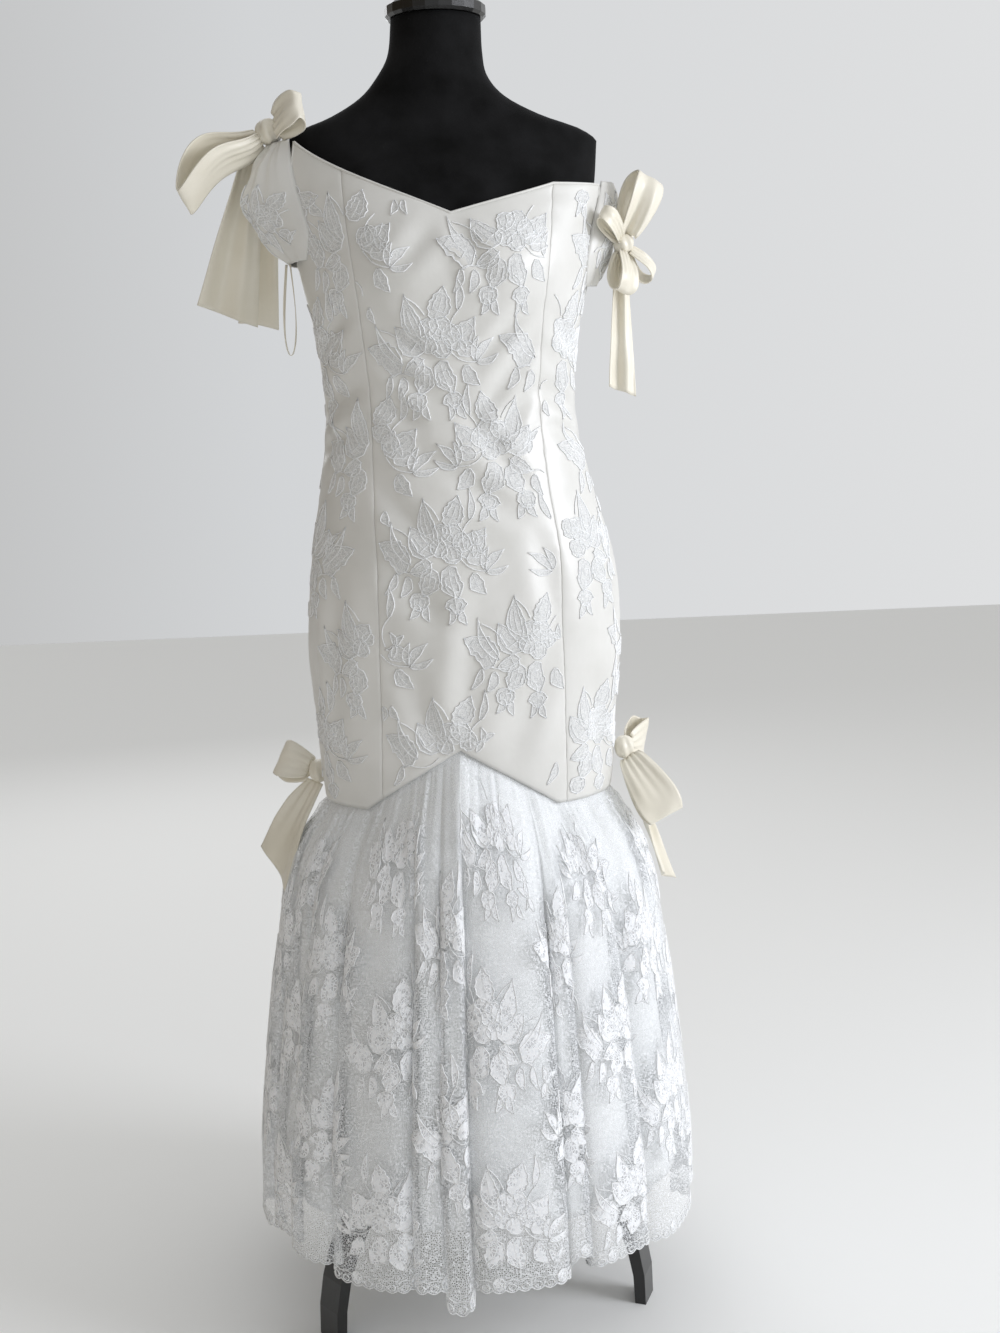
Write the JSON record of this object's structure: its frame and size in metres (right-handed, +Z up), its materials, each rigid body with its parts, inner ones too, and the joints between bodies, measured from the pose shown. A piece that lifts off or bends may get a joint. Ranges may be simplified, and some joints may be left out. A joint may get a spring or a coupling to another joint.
{
  "type": "wedding dress on a dress form",
  "caption": "Off-the-shoulder fitted lace wedding dress with a gathered lace flounce and satin bows, worn by a limbless dress form on a low legged stand.",
  "frame": {"origin": "Centre of the bounding box on the floor plane, level with the undersides of the feet.", "axes": "+Z is up, -Y is the front of the dress, +X is the wearer's left."},
  "size_m": [0.5496, 0.5154, 1.4784],
  "materials": {
    "lace_over_satin": "white corded floral lace mounted on warm white duchess satin",
    "corded_lace": "white corded floral lace on open net with a scalloped border",
    "lining_satin": "smooth white lining satin",
    "ivory_satin": "lustrous ivory duchess satin for bows, covered buttons and the hanger ribbon",
    "black_velvet": "black cotton velvet over a padded torso",
    "black_lacquer": "black satin lacquer on bent beech and turned wood"
  },
  "bodies": {
    "root": {"back_left": "lace_over_satin", "back_right": "lace_over_satin", "base_hub": "black_lacquer", "button_01": "ivory_satin", "button_02": "ivory_satin", "button_03": "ivory_satin", "button_04": "ivory_satin", "button_05": "ivory_satin", "button_06": "ivory_satin", "button_07": "ivory_satin", "flounce_lace_back": "corded_lace", "flounce_lace_front": "corded_lace", "flounce_lining_back": "lining_satin", "flounce_lining_front": "lining_satin", "form_torso": "black_velvet", "front_centre": "lace_over_satin", "hanger_ribbon": "ivory_satin", "left_hip_knot": "ivory_satin", "left_hip_loop_back": "ivory_satin", "left_hip_loop_front": "ivory_satin", "left_hip_tail": "ivory_satin", "left_shoulder_knot": "ivory_satin", "left_shoulder_loop_down": "ivory_satin", "left_shoulder_loop_front": "ivory_satin", "left_shoulder_loop_side": "ivory_satin", "left_shoulder_loop_up": "ivory_satin", "left_shoulder_tail": "ivory_satin", "leg_back": "black_lacquer", "leg_left": "black_lacquer", "leg_right": "black_lacquer", "neck_cap": "black_lacquer", "pole": "black_lacquer", "right_hip_knot": "ivory_satin", "right_hip_loop": "ivory_satin", "right_hip_tail": "ivory_satin", "right_shoulder_knot": "ivory_satin", "right_shoulder_loop_inner": "ivory_satin", "right_shoulder_loop_outer": "ivory_satin", "right_shoulder_tail_inner": "ivory_satin", "right_shoulder_tail_outer": "ivory_satin", "side_back_left": "lace_over_satin", "side_back_right": "lace_over_satin", "side_front_left": "lace_over_satin", "side_front_right": "lace_over_satin", "sleeve_left": "lace_over_satin", "sleeve_right": "lace_over_satin"}
  },
  "joints": []
}
